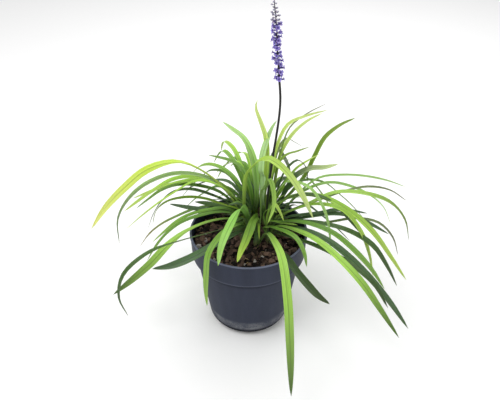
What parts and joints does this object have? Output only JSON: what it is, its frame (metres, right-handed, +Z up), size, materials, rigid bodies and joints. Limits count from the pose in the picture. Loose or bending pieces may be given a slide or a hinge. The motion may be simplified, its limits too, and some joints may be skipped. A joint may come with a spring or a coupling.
{
  "type": "potted liriope",
  "caption": "Liriope in flower in its round nursery pot: arching strap leaves in tufts round one crown, a violet flower spike on a bare dark stalk, bark soil.",
  "frame": {"origin": "centre of the pot's flat underside, on the surface that it stands on", "axes": "+Z up out of the pot, +X to the viewer's right and +Y away from the viewer in the picture"},
  "size_m": [0.5306, 0.4361, 0.5401],
  "materials": {
    "pot": "dusty matte anthracite plastic",
    "soil": "dark moist bark soil with paler chips and a few whitish stones",
    "leaf": "smooth strap leaf with long fine veins, lime to dark green",
    "stalk": "smooth near-black purple flower stalk",
    "petal": "soft matte violet petals"
  },
  "bodies": {
    "root": {"pot": "pot", "soil": "soil", "leaf_tuft_01": "leaf", "leaf_tuft_02": "leaf", "leaf_tuft_03": "leaf", "leaf_tuft_04": "leaf", "leaf_tuft_05": "leaf", "leaf_tuft_06": "leaf", "leaf_tuft_07": "leaf", "leaf_tuft_08": "leaf", "leaf_tuft_09": "leaf", "flower_stalk": "stalk", "flower_head": "petal"}
  },
  "joints": []
}
